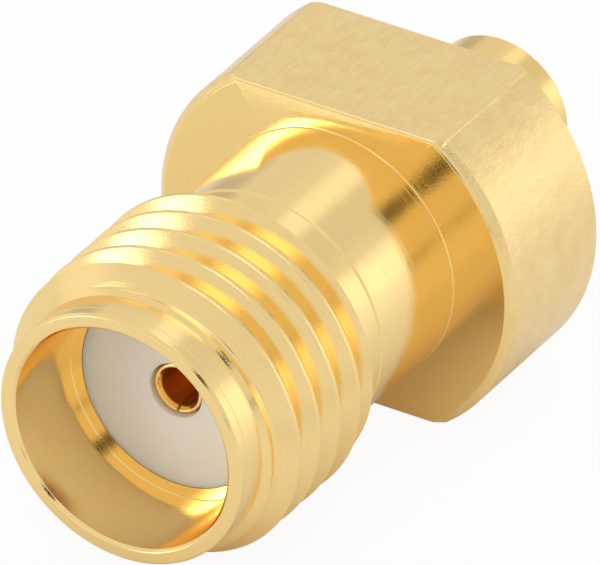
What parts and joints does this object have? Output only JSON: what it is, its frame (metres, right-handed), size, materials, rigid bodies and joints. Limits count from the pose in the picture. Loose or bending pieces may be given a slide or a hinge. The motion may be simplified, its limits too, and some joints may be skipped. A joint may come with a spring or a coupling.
{
  "type": "sma coaxial cable jack",
  "caption": "Straight threaded coaxial jack with a slotted centre socket, plastic insulator, two-flat flange and short cable tail.",
  "frame": {"origin": "on the connector's axis, at the mating reference plane where the socket bore ends and the insulator's face begins", "axes": "the axis lies along Y: the mating mouth faces -Y and the cable tail points to +Y; the two wrench flats face +Z and -Z"},
  "size_m": [0.0078, 0.0137, 0.0062],
  "materials": {
    "body_gold": "gold-plated turned brass with fine tool marks; milled flats brushed along the axis",
    "insulator_white": "smooth milky fluoropolymer, slightly translucent",
    "contact_gold": "gold-plated spring alloy, plain turned"
  },
  "bodies": {
    "root": {"body": "body_gold", "insulator": "insulator_white", "centre_contact": "contact_gold"}
  },
  "joints": []
}
